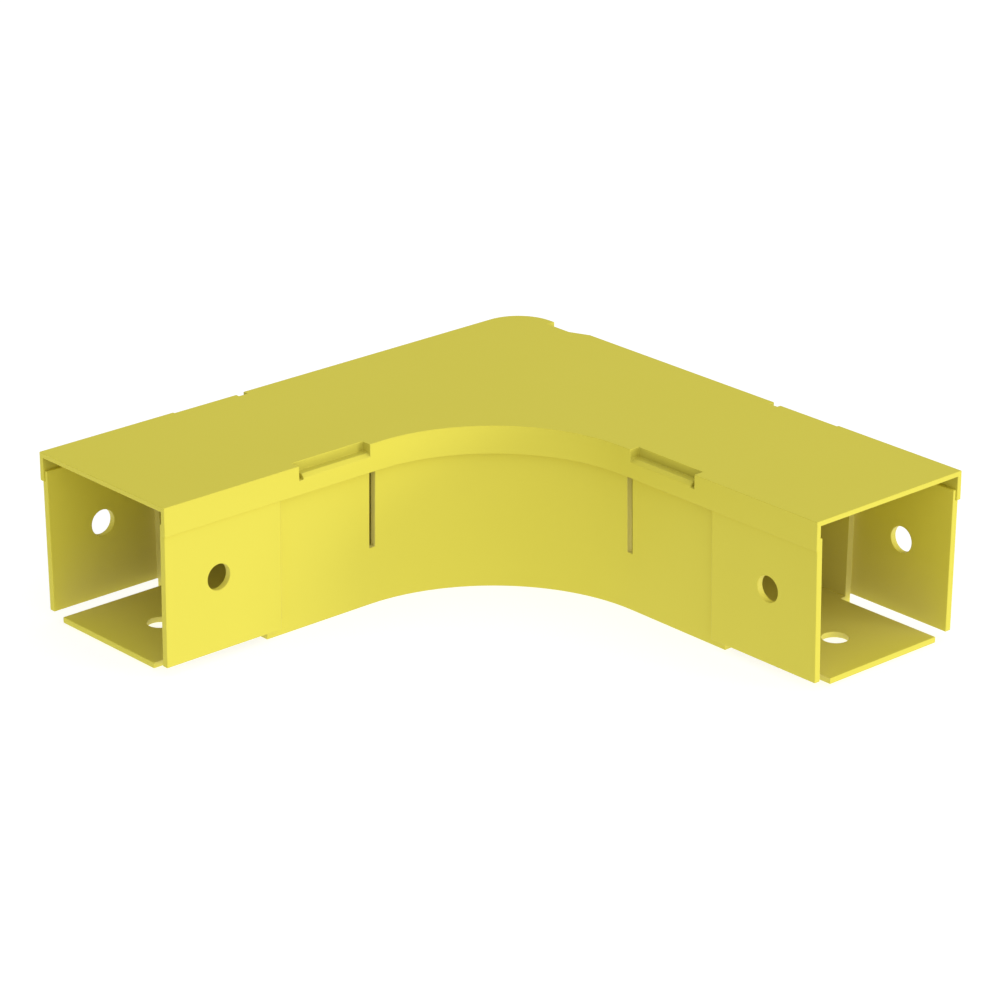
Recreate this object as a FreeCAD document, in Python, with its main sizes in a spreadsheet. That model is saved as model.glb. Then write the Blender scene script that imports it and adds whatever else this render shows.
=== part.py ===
import FreeCAD, Part
import math
import os
import Sketcher

# Right-angle fitting for a square fibre raceway
# A moulded trough turns the run through 90 degrees and a snap-fit cover closes it.
# The run centre lines cross at the origin, the arms leave along -X and -Y,
# and Z = 0 is the underside that the fitting rests on. All lengths are in millimetres.

DIMENSIONS = {
    # overall form, over the outside of the cover
    "cover_width": 56.0,
    "arm_length": 177.5,
    "cover_top": 49.5,
    "corner_radius": 12.4,
    "cover_bend_radius": 46.5,
    # cover plate and its down-turned lip
    "plate_thickness": 1.5,
    "lip_height": 8.4,
    "lip_thickness": 1.5,
    # trough
    "wall_thickness": 2.0,
    "floor_thickness": 2.5,
    "head_gap": 3.8,
    "wall_lean": 0.0175,
    "trough_bend_radius": 51.5,
    # tongues that hold the duct at each mouth
    "tongue_thickness": 2.0,
    "tongue_inset": 0.65,
    "tongue_setback": 0.4,
    "tongue_base": 2.75,
    "tongue_lap": 3.9,
    "socket_depth": 36.2,
    "back_chamfer": 0.5,
    "rebate_clearance": 0.1,
    "floor_tongue_width": 41.4,
    "floor_tongue_thickness": 1.75,
    # rivet holes
    "rivet_radius": 3.8,
    "rivet_inset": 18.4,
    "rivet_height": 24.45,
    # relief slits in the trough walls
    "slit_width": 2.0,
    "slit_station": 103.6,
    "slit_foot": 17.15,
    # latch windows along the edges of the cover
    "window_station": 106.5,
    "window_length": 25.0,
    "window_depth": 3.2,
    "pocket_floor": 2.0,
    "sill_drop": 2.75,
    "sill_chamfer": 1.05,
    "slot_width": 1.4,
    "slot_drop": 4.2,
    "outer_window_depth": 0.6,
    "nick_length": 3.0,
    "nick_depth": 1.9,
    # snap catches under the windows
    "catch_margin": 2.5,
    "catch_reach": 0.8,
    "catch_height": 1.8,
    "catch_play": 0.2,
    # pry notch beside the outer corner of the cover
    "pry_station": 14.7,
    "pry_length": 9.3,
    "pry_ramp": 6.3,
    "pry_depth": 2.7,
    # how far a cutting profile runs past the face it cuts
    "overrun": 5.0,
}

doc = FreeCAD.newDocument("raceway_fitting")
sheet = doc.addObject("Spreadsheet::Sheet", "sizes")
for row, (name, number) in enumerate(DIMENSIONS.items(), start=1):
    sheet.set(f"A{row}", name)
    sheet.set(f"B{row}", str(number))
    sheet.setAlias(f"B{row}", name)
doc.recompute()


class Size:
    """A number together with the sheet expression that it comes from."""

    def __init__(self, number, text):
        self.number = number
        self.text = text

    def combine(self, other, sign, result):
        return Size(result, f"({self.text} {sign} {other.text})")

    def __add__(self, other):
        other = as_size(other)
        return self.combine(other, "+", self.number + other.number)

    def __sub__(self, other):
        other = as_size(other)
        return self.combine(other, "-", self.number - other.number)

    def __mul__(self, other):
        other = as_size(other)
        return self.combine(other, "*", self.number * other.number)

    def __truediv__(self, other):
        other = as_size(other)
        return self.combine(other, "/", self.number / other.number)

    def __neg__(self):
        return Size(-self.number, f"(0 - {self.text})")


def as_size(value):
    return value if isinstance(value, Size) else Size(float(value), str(float(value)))


def dimension(name):
    return Size(DIMENSIONS[name], f"sizes.{name}")


ZERO = as_size(0)


# Shared levels and faces, all from the sheet

half_width = dimension("cover_width") / 2
mouth = half_width - dimension("arm_length")
lean = dimension("wall_lean")
overrun = dimension("overrun")
wall = dimension("wall_thickness")
floor_top = dimension("floor_thickness")
cover_top = dimension("cover_top")
wall_top = cover_top - dimension("plate_thickness") - dimension("head_gap")
lip_foot = cover_top - dimension("lip_height")
lip_inside = half_width - dimension("lip_thickness")
trough_end = mouth + dimension("socket_depth")
trough_bend = dimension("trough_bend_radius")
cover_bend = dimension("cover_bend_radius")
corner = dimension("corner_radius")
tongue = dimension("tongue_thickness")
rivet_station = mouth + dimension("rivet_inset")
slit_near = half_width - dimension("slit_station") - dimension("slit_width") / 2
slit_far = slit_near + dimension("slit_width")
window_near = half_width - dimension("window_station")
window_far = window_near - dimension("window_length")
catch_near = window_near - dimension("catch_margin")
catch_length = dimension("window_length") - dimension("catch_margin") * 2
barb_foot = wall_top - dimension("catch_height")


def tongue_face(level):
    """Outer face of a wall tongue at a height: the walls lean out towards the top."""
    return half_width - dimension("tongue_inset") - lean * (lip_foot - level)


def trough_face(level):
    """Outer face of the trough wall, flush with the inside of the tongues."""
    return tongue_face(level) - tongue


# Sketching


def origin_plane(body, role):
    return [item for item in body.Origin.OriginFeatures if item.Role == role][0]


def new_sketch(body, name, role, offset=ZERO):
    sketch = body.newObject("Sketcher::SketchObject", name)
    sketch.AttachmentSupport = [(origin_plane(body, role), "")]
    sketch.MapMode = "FlatFace"
    sketch.setExpression(".AttachmentOffset.Base.z", offset.text)
    return sketch


def fix_point(sketch, geometry, point, x, y):
    """Hold a point of the sketch at its sheet-driven distances from the origin."""
    for kind, size in (("DistanceX", x), ("DistanceY", y)):
        index = sketch.addConstraint(
            Sketcher.Constraint(kind, -1, 1, geometry, point, size.number)
        )
        sketch.setExpression(f"Constraints[{index}]", size.text)


def fix_radius(sketch, geometry, radius):
    index = sketch.addConstraint(Sketcher.Constraint("Radius", geometry, radius.number))
    sketch.setExpression(f"Constraints[{index}]", radius.text)


def arc_between(start, end, radius, turn):
    """Arc from start to end: turn is 1 for counter-clockwise and -1 for clockwise."""
    chord = end - start
    height = math.sqrt(max(radius ** 2 - chord.Length ** 2 / 4, 0))
    side = FreeCAD.Vector(-chord.y, chord.x, 0).normalize() * turn
    centre = (start + end) / 2 + side * height
    first, last = (start, end) if turn > 0 else (end, start)
    angles = [math.atan2(p.y - centre.y, p.x - centre.x) for p in (first, last)]
    circle = Part.Circle(centre, FreeCAD.Vector(0, 0, 1), radius)
    return Part.ArcOfCircle(circle, angles[0], angles[1])


def draw_outline(sketch, corners):
    """Closed outline. A corner is (x, y), or (x, y, radius, turn) where an arc leaves it."""
    points = [FreeCAD.Vector(c[0].number, c[1].number, 0) for c in corners]
    ends = []
    for index, place in enumerate(corners):
        start, end = points[index], points[(index + 1) % len(points)]
        if len(place) == 2:
            edge = sketch.addGeometry(Part.LineSegment(start, end), False)
            ends.append((edge, 1, 2))
        else:
            radius, turn = place[2], place[3]
            edge = sketch.addGeometry(arc_between(start, end, radius.number, turn), False)
            ends.append((edge, 1, 2) if turn > 0 else (edge, 2, 1))
            fix_radius(sketch, edge, radius)
    for index, (edge, _, finish) in enumerate(ends):
        following, begin, _ = ends[(index + 1) % len(ends)]
        sketch.addConstraint(
            Sketcher.Constraint("Coincident", edge, finish, following, begin)
        )
    for (edge, begin, _), place in zip(ends, corners):
        fix_point(sketch, edge, begin, place[0], place[1])


def draw_rectangle(sketch, left, right, low, high):
    draw_outline(sketch, [(left, low), (right, low), (right, high), (left, high)])


def draw_circle(sketch, x, y, radius):
    centre = FreeCAD.Vector(x.number, y.number, 0)
    circle = Part.Circle(centre, FreeCAD.Vector(0, 0, 1), radius.number)
    edge = sketch.addGeometry(circle, False)
    fix_radius(sketch, edge, radius)
    fix_point(sketch, edge, 3, x, y)


def elbow_outline(face, end, outer_radius, bend_radius):
    """Plan of an elbow between faces at +face and -face, with arms that stop at end."""
    return [
        (end, face),
        (face - outer_radius, face, outer_radius, -1),
        (face, face - outer_radius),
        (face, end),
        (-face, end),
        (-face, -face - bend_radius, bend_radius, 1),
        (-face - bend_radius, -face),
        (end, -face),
    ]


# Features


def pad(body, sketch, name, length):
    feature = body.newObject("PartDesign::Pad", name)
    feature.Profile = sketch
    feature.setExpression("Length", length.text)
    return feature


def pocket(body, sketch, name, depth=None, upwards=False):
    """Cut along the sketch normal, backwards unless upwards is set, or right through."""
    feature = body.newObject("PartDesign::Pocket", name)
    feature.Profile = sketch
    feature.Reversed = upwards
    if depth is None:
        feature.Type = "ThroughAll"
        feature.Midplane = True
    else:
        feature.setExpression("Length", depth.text)
    return feature


def mirror_to_other_arm(body, name, originals):
    """Repeat the features of the -X arm on the -Y arm, across the diagonal plane."""
    plane = body.newObject("PartDesign::Plane", f"{name}_plane")
    plane.AttachmentSupport = [(origin_plane(body, "XZ_Plane"), "")]
    plane.MapMode = "FlatFace"
    turn = FreeCAD.Rotation(FreeCAD.Vector(0, 1, 0), 45)
    plane.AttachmentOffset = FreeCAD.Placement(FreeCAD.Vector(), turn)
    feature = body.newObject("PartDesign::Mirrored", name)
    feature.Originals = originals
    feature.MirrorPlane = (plane, [""])
    body.Tip = feature
    return feature


def new_body(name):
    body = doc.addObject("PartDesign::Body", name)
    body.Label = name
    return body


# Trough: floor and two leaning walls round the bend, one moulding with the tongues

trough = new_body("elbow_trough")

foot_face = trough_face(ZERO)
foot_corner = corner - half_width + foot_face
plan = new_sketch(trough, "trough_plan", "XY_Plane")
draw_outline(
    plan, elbow_outline(foot_face, trough_end - overrun, foot_corner, trough_bend)
)
block = pad(trough, plan, "trough_block", wall_top)
block.setExpression("TaperAngle", f"atan({lean.text})")

ends = new_sketch(trough, "trough_ends", "XY_Plane")
far_end = trough_end - overrun * 2
draw_rectangle(ends, far_end, trough_end, -half_width, half_width)
draw_rectangle(ends, -half_width, half_width, far_end, trough_end)
pocket(trough, ends, "trough_end_cut")

channel_face = trough_face(floor_top) - wall
channel_lean = lean * floor_top
channel_plan = new_sketch(trough, "channel_plan", "XY_Plane", floor_top)
draw_outline(
    channel_plan,
    elbow_outline(
        channel_face,
        trough_end - overrun,
        foot_corner + channel_lean - wall,
        trough_bend - channel_lean + wall,
    ),
)
channel = pocket(trough, channel_plan, "channel", wall_top - floor_top, upwards=True)
channel.setExpression("TaperAngle", f"atan({lean.text})")


def wall_profile(side, inner_face):
    """Section of a wall tongue: side is 1 for the outer wall and -1 for the inner one."""
    rebate = lip_inside - dimension("rebate_clearance")
    base = dimension("tongue_base")
    corners = [
        (tongue_face(base), base),
        (tongue_face(lip_foot), lip_foot),
        (rebate, lip_foot),
        (rebate, wall_top),
        (inner_face(wall_top), wall_top),
        (inner_face(base), base),
    ]
    return [(y * side, level) for y, level in corners]


def lap_face(level):
    return trough_face(level) - wall / 2


tongue_end = mouth + dimension("tongue_setback")
tongue_sketch = new_sketch(trough, "tongue_section", "YZ_Plane", tongue_end)
lap_sketch = new_sketch(trough, "lap_section", "YZ_Plane", trough_end)
for side in (1, -1):
    draw_outline(tongue_sketch, wall_profile(side, trough_face))
    draw_outline(lap_sketch, wall_profile(side, lap_face))
tongues = pad(trough, tongue_sketch, "wall_tongues", trough_end - tongue_end)
laps = pad(trough, lap_sketch, "tongue_laps", dimension("tongue_lap"))

floor_sketch = new_sketch(trough, "floor_tongue_section", "YZ_Plane", tongue_end)
floor_half = dimension("floor_tongue_width") / 2
floor_foot = floor_top - dimension("floor_tongue_thickness")
draw_rectangle(floor_sketch, -floor_half, floor_half, floor_foot, floor_top)
floor_reach = trough_end - tongue_end + dimension("tongue_lap")
floor_tongue = pad(trough, floor_sketch, "floor_tongue", floor_reach)

# Barbs that the cover's catches snap under, outside each wall top


def barb_profile(side):
    root = trough_face(barb_foot) - wall / 2
    tip = trough_face(barb_foot) + dimension("catch_reach")
    corners = [
        (root, barb_foot),
        (tip, barb_foot),
        (trough_face(wall_top), wall_top),
        (root, wall_top),
    ]
    return [(y * side, level) for y, level in corners]


barb_sketch = new_sketch(trough, "barb_section", "YZ_Plane", catch_near - catch_length)
for side in (1, -1):
    draw_outline(barb_sketch, barb_profile(side))
barbs = pad(trough, barb_sketch, "barbs", catch_length)

# Openings in the arm: rivet holes in three tongues, and a relief slit in each wall

rivet_sketch = new_sketch(trough, "wall_rivets", "XZ_Plane")
draw_circle(
    rivet_sketch, rivet_station, dimension("rivet_height"), dimension("rivet_radius")
)
wall_rivets = pocket(trough, rivet_sketch, "wall_rivet_holes")

floor_rivet_sketch = new_sketch(trough, "floor_rivet", "XY_Plane")
draw_circle(floor_rivet_sketch, rivet_station, ZERO, dimension("rivet_radius"))
floor_rivet = pocket(
    trough, floor_rivet_sketch, "floor_rivet_hole", floor_top, upwards=True
)

slit_sketch = new_sketch(trough, "relief_slit", "XZ_Plane")
slit_foot = dimension("slit_foot")
draw_rectangle(slit_sketch, slit_near, slit_far, slit_foot, wall_top + overrun)
slits = pocket(trough, slit_sketch, "relief_slits")
doc.recompute()

both_arms = mirror_to_other_arm(
    trough,
    "second_arm",
    [tongues, laps, floor_tongue, barbs, wall_rivets, floor_rivet, slits],
)
doc.recompute()

# Small chamfer down the back edge of each wall tongue, where it stands proud of the trough

TOUCH = 0.01
tongue_back = trough_end + dimension("tongue_lap")


def is_back_edge(edge):
    middle = edge.valueAt((edge.FirstParameter + edge.LastParameter) / 2)
    face = tongue_face(as_size(middle.z)).number
    for along, across in ((middle.x, middle.y), (middle.y, middle.x)):
        if abs(along - tongue_back.number) < TOUCH and abs(abs(across) - face) < TOUCH:
            return True
    return False


edges = both_arms.Shape.Edges
back_edges = [f"Edge{n}" for n, edge in enumerate(edges, start=1) if is_back_edge(edge)]
back_chamfer = trough.newObject("PartDesign::Chamfer", "tongue_back_chamfers")
back_chamfer.Base = (both_arms, back_edges)
back_chamfer.setExpression("Size", dimension("back_chamfer").text)
doc.recompute()

# Cover: a flat elbow plate with a lip turned down outside the walls

cover = new_body("snap_cover")

cover_plan = new_sketch(cover, "cover_plan", "XY_Plane", lip_foot)
draw_outline(cover_plan, elbow_outline(half_width, mouth, corner, cover_bend))
pad(cover, cover_plan, "cover_block", dimension("lip_height"))

inside_plan = new_sketch(cover, "inside_plan", "XY_Plane", lip_foot)
lip = dimension("lip_thickness")
draw_outline(
    inside_plan,
    elbow_outline(lip_inside, mouth - overrun, corner - lip, cover_bend + lip),
)
inside_height = dimension("lip_height") - dimension("plate_thickness")
pocket(cover, inside_plan, "cover_inside", inside_height, upwards=True)

# Catches inside the lip, below the barbs of the trough


def catch_profile(side):
    top = barb_foot - dimension("catch_play")
    tip = lip_inside - dimension("catch_reach")
    root = lip_inside + lip / 2
    corners = [(root, lip_foot), (lip_inside, lip_foot), (tip, top), (root, top)]
    return [(y * side, level) for y, level in corners]


catch_sketch = new_sketch(cover, "catch_section", "YZ_Plane", catch_near - catch_length)
for side in (1, -1):
    draw_outline(catch_sketch, catch_profile(side))
catches = pad(cover, catch_sketch, "catches", catch_length)

# Latch pockets: a box moulded under the plate along the inner edge of each arm

plate = dimension("plate_thickness")
outside = half_width + overrun
window_depth = half_width - dimension("window_depth")
sill = cover_top - dimension("sill_drop")
box_foot = sill - dimension("pocket_floor")
box_sketch = new_sketch(cover, "pocket_boxes", "XY_Plane", box_foot)
draw_rectangle(
    box_sketch,
    window_far - plate,
    window_near + plate,
    -half_width,
    plate - window_depth,
)
boxes = pad(cover, box_sketch, "latch_boxes", cover_top - box_foot)

# Latch windows: the plate edge is cut back and the lip below stays as a chamfered sill

window_sketch = new_sketch(cover, "inner_window", "XY_Plane", cover_top)
draw_rectangle(window_sketch, window_far, window_near, -outside, -window_depth)
windows = pocket(cover, window_sketch, "inner_windows", dimension("sill_drop"))

chamfer = dimension("sill_chamfer")
slot_near = window_far + dimension("slot_width")
sill_sketch = new_sketch(cover, "sill_chamfer", "YZ_Plane", slot_near)
draw_outline(
    sill_sketch,
    [
        (-half_width, sill - chamfer),
        (-half_width + chamfer, sill),
        (-outside, sill),
        (-outside, sill - chamfer),
    ],
)
sills = pocket(cover, sill_sketch, "sill_chamfers", window_near - slot_near, upwards=True)

slot_sketch = new_sketch(cover, "window_slot", "XY_Plane", cover_top)
draw_rectangle(slot_sketch, window_far, slot_near, -outside, -window_depth)
slots = pocket(cover, slot_sketch, "window_slots", dimension("slot_drop"))

outer_depth = half_width - dimension("outer_window_depth")
nick_depth = half_width - dimension("nick_depth")
nick_far = window_near - dimension("nick_length")
outer_sketch = new_sketch(cover, "outer_window", "XY_Plane", cover_top)
draw_outline(
    outer_sketch,
    [
        (window_far, outer_depth),
        (nick_far, outer_depth),
        (nick_far, nick_depth),
        (window_near, nick_depth),
        (window_near, outside),
        (window_far, outside),
    ],
)
outer_windows = pocket(cover, outer_sketch, "outer_windows", dimension("sill_drop"))
doc.recompute()

mirror_to_other_arm(
    cover, "other_arm", [catches, boxes, windows, sills, slots, outer_windows]
)

# Pry notch in the outer edge of one arm, just past the rounded corner

pry_near = half_width - dimension("pry_station")
pry_middle = pry_near - dimension("pry_length")
pry_depth = half_width - dimension("pry_depth")
pry_sketch = new_sketch(cover, "pry_notch", "XY_Plane", cover_top)
draw_outline(
    pry_sketch,
    [
        (outside, pry_near),
        (pry_depth, pry_near),
        (pry_depth, pry_middle),
        (half_width, pry_middle - dimension("pry_ramp")),
        (outside, pry_middle - dimension("pry_ramp")),
    ],
)
pocket(cover, pry_sketch, "pry_notch_cut", dimension("lip_height"))
doc.recompute()

parts = [trough, cover]


def check(body):
    for item in doc.Objects:
        if "Invalid" in item.State or "Error" in item.State:
            raise RuntimeError(f"{item.Name} failed: {item.State}")
    shape = body.Shape
    if shape.isNull() or not shape.isValid():
        raise RuntimeError(f"{body.Label} has no valid shape")


os.makedirs("parts", exist_ok=True)
for body in parts:
    check(body)
    box = body.Shape.BoundBox
    print(body.Label, len(body.Shape.Solids), round(body.Shape.Volume, 1), box)
    body.Shape.exportStep(f"parts/{body.Label}.step")
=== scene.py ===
import math
import bpy
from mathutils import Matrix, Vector


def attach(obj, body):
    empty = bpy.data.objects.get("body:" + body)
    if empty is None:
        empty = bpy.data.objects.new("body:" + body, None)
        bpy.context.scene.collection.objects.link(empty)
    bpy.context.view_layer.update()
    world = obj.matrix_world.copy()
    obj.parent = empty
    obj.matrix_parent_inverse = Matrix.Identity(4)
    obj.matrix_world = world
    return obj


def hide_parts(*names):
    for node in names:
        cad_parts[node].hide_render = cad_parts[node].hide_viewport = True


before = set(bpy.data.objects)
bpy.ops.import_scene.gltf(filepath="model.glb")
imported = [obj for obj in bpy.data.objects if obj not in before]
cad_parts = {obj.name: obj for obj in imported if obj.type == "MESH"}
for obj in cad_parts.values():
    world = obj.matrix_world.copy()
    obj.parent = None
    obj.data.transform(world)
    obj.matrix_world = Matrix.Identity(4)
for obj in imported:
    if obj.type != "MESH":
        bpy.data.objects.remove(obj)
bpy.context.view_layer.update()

# Trough
# One moulding of yellow ABS: a floor, two walls that lean out round the bend, and at each
# mouth a pair of wall tongues and a floor tongue that the duct is riveted to.

WELD_DISTANCE = 1e-6
FLAT_WITHIN = math.radians(1)
MOULD_EDGE = 0.0002
EDGE_FROM = math.radians(30)
SMOOTH_UNDER = math.radians(50)
RACEWAY_YELLOW = (0.745, 0.668, 0.081, 1.0)


def select_only(piece):
    bpy.ops.object.select_all(action="DESELECT")
    piece.select_set(True)
    bpy.context.view_layer.objects.active = piece


def moulded_piece(name, node, plastic):
    """The solid as one skin, with its sharp edges rounded the way a mould leaves them."""
    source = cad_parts[node]
    piece = bpy.data.objects.new(name, source.data.copy())
    bpy.context.scene.collection.objects.link(piece)
    select_only(piece)
    bpy.ops.object.mode_set(mode="EDIT")
    bpy.ops.mesh.select_all(action="SELECT")
    bpy.ops.mesh.remove_doubles(threshold=WELD_DISTANCE)
    bpy.ops.mesh.dissolve_limited(angle_limit=FLAT_WITHIN)
    bpy.ops.object.mode_set(mode="OBJECT")
    edge = piece.modifiers.new("mould_edge", "BEVEL")
    edge.width = MOULD_EDGE
    edge.segments = 2
    edge.limit_method = "ANGLE"
    edge.angle_limit = EDGE_FROM
    edge.use_clamp_overlap = False
    bpy.ops.object.modifier_apply(modifier=edge.name)
    bpy.ops.object.shade_smooth_by_angle(angle=SMOOTH_UNDER)
    flats = piece.modifiers.new("flat_faces", "WEIGHTED_NORMAL")
    flats.mode = "FACE_AREA"
    flats.weight = 100
    flats.keep_sharp = True
    bpy.ops.object.modifier_apply(modifier=flats.name)
    piece.data.materials.clear()
    piece.data.materials.append(plastic)
    return piece


def skin_with_painted_shade_group():
    """Fine moulded texture: slow drift of the colour and grain of the tool, with painted
    shade:
    shut-in places are painted in a duller shade colour."""
    group = bpy.data.node_groups.new("skin_with_painted_shade", "ShaderNodeTree")
    for name, kind in (
        ("Colour", "NodeSocketColor"),
        ("Shade", "NodeSocketColor"),
        ("Painted Shade Colour", "NodeSocketColor"),
        ("Painted Shade Mask", "NodeSocketFloat"),
        ("Drift", "NodeSocketFloat"),
        ("Grain", "NodeSocketFloat"),
        ("Gloss", "NodeSocketFloat"),
        ("Gloss Spread", "NodeSocketFloat"),
    ):
        group.interface.new_socket(name, in_out="INPUT", socket_type=kind)
    for name, kind in (
        ("Colour", "NodeSocketColor"),
        ("Roughness", "NodeSocketFloat"),
        ("Height", "NodeSocketFloat"),
    ):
        group.interface.new_socket(name, in_out="OUTPUT", socket_type=kind)
    nodes, links = group.nodes, group.links
    start = nodes.new("NodeGroupInput")
    end = nodes.new("NodeGroupOutput")
    place = nodes.new("ShaderNodeTexCoord")
    drift = nodes.new("ShaderNodeTexNoise")
    links.new(place.outputs["Object"], drift.inputs["Vector"])
    links.new(start.outputs["Drift"], drift.inputs["Scale"])
    drift.inputs["Detail"].default_value = 3.0
    mix = nodes.new("ShaderNodeMix")
    mix.data_type = "RGBA"
    links.new(drift.outputs["Fac"], mix.inputs["Factor"])
    links.new(start.outputs["Colour"], mix.inputs["A"])
    links.new(start.outputs["Shade"], mix.inputs["B"])
    # Painted shade: shut-in places are painted towards the shade colour.
    painted_shade = nodes.new("ShaderNodeMix")
    painted_shade.data_type = "RGBA"
    links.new(start.outputs["Painted Shade Mask"], painted_shade.inputs["Factor"])
    links.new(mix.outputs["Result"], painted_shade.inputs["A"])
    links.new(start.outputs["Painted Shade Colour"], painted_shade.inputs["B"])
    links.new(painted_shade.outputs["Result"], end.inputs["Colour"])
    grain = nodes.new("ShaderNodeTexNoise")
    links.new(place.outputs["Object"], grain.inputs["Vector"])
    links.new(start.outputs["Grain"], grain.inputs["Scale"])
    grain.inputs["Detail"].default_value = 4.0
    links.new(grain.outputs["Fac"], end.inputs["Height"])
    spread = nodes.new("ShaderNodeMath")
    spread.operation = "MULTIPLY_ADD"
    links.new(drift.outputs["Fac"], spread.inputs[0])
    links.new(start.outputs["Gloss Spread"], spread.inputs[1])
    links.new(start.outputs["Gloss"], spread.inputs[2])
    links.new(spread.outputs["Value"], end.inputs["Roughness"])
    return group


skin_with_painted_shade = skin_with_painted_shade_group()


def yellow_plastic(name, shade, painted_shade, reach, open_share, shut_share):
    """Satin yellow ABS, with painted shade. Faces that see less than open_share of their
    surroundings within reach are painted towards the shade colour, wholly so at shut_share."""
    material = bpy.data.materials.new(name)
    material.use_nodes = True
    nodes, links = material.node_tree.nodes, material.node_tree.links
    shader = nodes["Principled BSDF"]
    skin_and_shade = nodes.new("ShaderNodeGroup")
    skin_and_shade.node_tree = skin_with_painted_shade
    skin_and_shade.inputs["Colour"].default_value = RACEWAY_YELLOW
    skin_and_shade.inputs["Shade"].default_value = shade
    skin_and_shade.inputs["Painted Shade Colour"].default_value = painted_shade
    # Painted shade: how shut in a face is by the piece itself sets how much shade colour is
    # painted on it.
    outlook = nodes.new("ShaderNodeAmbientOcclusion")
    outlook.only_local = True
    outlook.samples = 16
    outlook.inputs["Distance"].default_value = reach
    painted_shade_mask = nodes.new("ShaderNodeMapRange")
    painted_shade_mask.inputs["From Min"].default_value = open_share
    painted_shade_mask.inputs["From Max"].default_value = shut_share
    links.new(outlook.outputs["AO"], painted_shade_mask.inputs["Value"])
    links.new(painted_shade_mask.outputs["Result"], skin_and_shade.inputs["Painted Shade Mask"])
    skin_and_shade.inputs["Drift"].default_value = 18.0
    skin_and_shade.inputs["Grain"].default_value = 2600.0
    skin_and_shade.inputs["Gloss"].default_value = 0.42
    skin_and_shade.inputs["Gloss Spread"].default_value = 0.12
    relief = nodes.new("ShaderNodeBump")
    relief.inputs["Strength"].default_value = 0.06
    relief.inputs["Distance"].default_value = 0.0001
    links.new(skin_and_shade.outputs["Colour"], shader.inputs["Base Color"])
    links.new(skin_and_shade.outputs["Roughness"], shader.inputs["Roughness"])
    links.new(skin_and_shade.outputs["Height"], relief.inputs["Height"])
    links.new(relief.outputs["Normal"], shader.inputs["Normal"])
    shader.inputs["IOR"].default_value = 1.5
    shader.inputs["Specular IOR Level"].default_value = 0.12
    return material


# Painted shade: where the channel is shut in, its inside is painted a little greyer than the
# outside.
trough_plastic = yellow_plastic(
    "trough_plastic",
    shade=(0.715, 0.638, 0.074, 1.0),
    painted_shade=(0.74, 0.665, 0.20, 1.0),
    reach=0.05,
    open_share=0.85,
    shut_share=0.5,
)
trough = moulded_piece("trough_moulding", "elbow_trough", trough_plastic)
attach(trough, "root")
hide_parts("elbow_trough")

# Cover
# A flat elbow plate of the same yellow ABS with a lip turned down outside the walls. It is
# pressed on from above until the catches below its latch windows hold under the walls' barbs.

# Painted shade: the recesses of the latch windows are painted darker, deepest in their
# corners.
cover_plastic = yellow_plastic(
    "cover_plastic",
    shade=(0.72, 0.643, 0.076, 1.0),
    painted_shade=(0.58, 0.52, 0.068, 1.0),
    reach=0.006,
    open_share=1.0,
    shut_share=0.8,
)
cover = moulded_piece("cover_moulding", "snap_cover", cover_plastic)
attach(cover, "root")
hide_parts("snap_cover")

# Floor
# A wide white table that the fitting stands on. It lights the fitting evenly from below, and
# the camera sees it as plain white with the soft shadow under the walls.

FLOOR_SIZE = 12.0
FLOOR_GAP = 0.0002
PAINT_TONE = 0.36
PAINT_GLOW = 0.78
TABLE_LIGHT = 1.09

bpy.ops.object.select_all(action="DESELECT")
bpy.ops.mesh.primitive_plane_add(size=FLOOR_SIZE, location=(0, 0, -FLOOR_GAP))
floor = bpy.context.object
floor.name = "white_table"
white = bpy.data.materials.new("white_table")
white.use_nodes = True
nodes, links = white.node_tree.nodes, white.node_tree.links
nodes.clear()
path = nodes.new("ShaderNodeLightPath")
seen = nodes.new("ShaderNodeMath")
seen.operation = "MAXIMUM"
links.new(path.outputs["Is Camera Ray"], seen.inputs[0])
links.new(path.outputs["Is Glossy Ray"], seen.inputs[1])
shown = nodes.new("ShaderNodeMath")
shown.operation = "MAXIMUM"
links.new(seen.outputs["Value"], shown.inputs[0])
links.new(path.outputs["Is Transmission Ray"], shown.inputs[1])
paint = nodes.new("ShaderNodeBsdfDiffuse")
paint.inputs["Color"].default_value = (PAINT_TONE, PAINT_TONE, PAINT_TONE, 1.0)
paint_glow = nodes.new("ShaderNodeEmission")
paint_glow.inputs["Strength"].default_value = PAINT_GLOW
surface = nodes.new("ShaderNodeAddShader")
links.new(paint.outputs["BSDF"], surface.inputs[0])
links.new(paint_glow.outputs["Emission"], surface.inputs[1])
table_light = nodes.new("ShaderNodeEmission")
table_light.inputs["Strength"].default_value = TABLE_LIGHT
choose = nodes.new("ShaderNodeMixShader")
links.new(shown.outputs["Value"], choose.inputs["Fac"])
links.new(table_light.outputs["Emission"], choose.inputs[1])
links.new(surface.outputs["Shader"], choose.inputs[2])
out = nodes.new("ShaderNodeOutputMaterial")
links.new(choose.outputs["Shader"], out.inputs["Surface"])
floor.data.materials.append(white)

# Light
# Soft white studio light from overhead and from -Y, the side that the first arm's inner wall
# faces, and one low lamp on that side. The camera sees the studio as plain white.

SKY_SHARES = (0.0, -0.894, 0.93)
LAMP_SIZE = 0.6
LAMP_POWER = 13.5
LAMP_PLACE = Vector((1.079, -2.033, 0.42))
LAMP_TARGET = Vector((-0.06, -0.06, 0.025))

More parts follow.
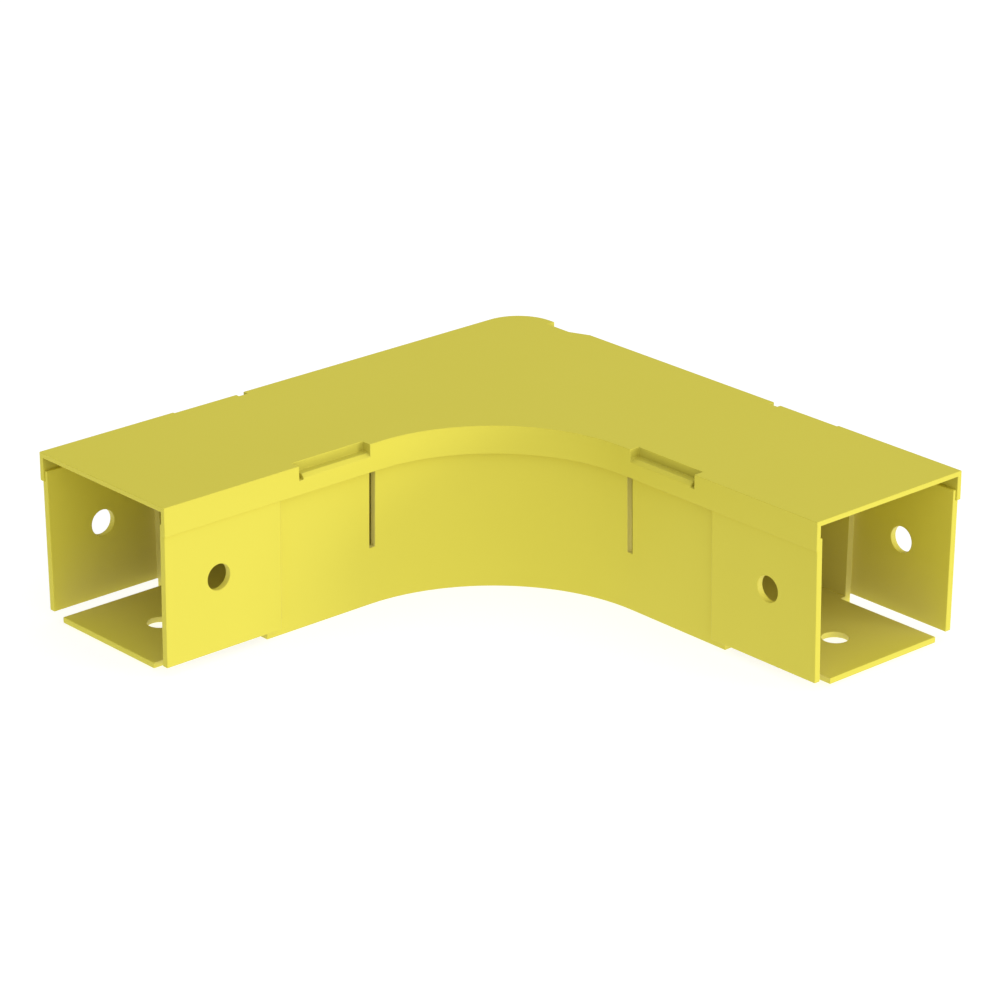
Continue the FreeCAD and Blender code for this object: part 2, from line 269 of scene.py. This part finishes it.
world = bpy.data.worlds.new("studio")
bpy.context.scene.world = world
world.use_nodes = True
nodes, links = world.node_tree.nodes, world.node_tree.links
studio = nodes["Background"]
studio.inputs["Color"].default_value = (1.0, 1.0, 1.0, 1.0)
place = nodes.new("ShaderNodeTexCoord")
shares = nodes.new("ShaderNodeVectorMath")
shares.operation = "MULTIPLY"
shares.inputs[1].default_value = SKY_SHARES
links.new(place.outputs["Generated"], shares.inputs[0])
lit = nodes.new("ShaderNodeVectorMath")
lit.operation = "MAXIMUM"
lit.inputs[1].default_value = (0.0, 0.0, 0.0)
links.new(shares.outputs["Vector"], lit.inputs[0])
glow = nodes.new("ShaderNodeVectorMath")
glow.operation = "DOT_PRODUCT"
glow.inputs[1].default_value = (1.0, 1.0, 1.0)
links.new(lit.outputs["Vector"], glow.inputs[0])
path = nodes.new("ShaderNodeLightPath")
level = nodes.new("ShaderNodeMix")
level.data_type = "FLOAT"
level.inputs["B"].default_value = 1.0
links.new(path.outputs["Is Camera Ray"], level.inputs["Factor"])
links.new(glow.outputs["Value"], level.inputs["A"])
links.new(level.outputs["Result"], studio.inputs["Strength"])

lamp = bpy.data.lights.new("soft_lamp", "AREA")
lamp.shape = "SQUARE"
lamp.size = LAMP_SIZE
lamp.energy = LAMP_POWER
soft_lamp = bpy.data.objects.new("soft_lamp", lamp)
bpy.context.scene.collection.objects.link(soft_lamp)
soft_lamp.location = LAMP_PLACE
aim = LAMP_TARGET - LAMP_PLACE
soft_lamp.rotation_euler = aim.to_track_quat("-Z", "Y").to_euler()

# Camera
# The photograph's view: a long lens 1.1 m from the inner bend and 0.4 m above the cover
# looks down on the fitting at 22 degrees.

VIEW_LENS = 144.14
VIEW_PLACE = (-0.73534, -0.81699, 0.44358)
VIEW_TILT = math.radians(68.192)
VIEW_HEADING = math.radians(-41.768)

lens = bpy.data.cameras.new("photo_view")
lens.sensor_width = 36.0
lens.lens = VIEW_LENS
camera = bpy.data.objects.new("photo_view", lens)
bpy.context.scene.collection.objects.link(camera)
camera.location = VIEW_PLACE
camera.rotation_euler = (VIEW_TILT, 0.0, VIEW_HEADING)
bpy.context.scene.camera = camera

bpy.context.scene.view_settings.view_transform = "Standard"
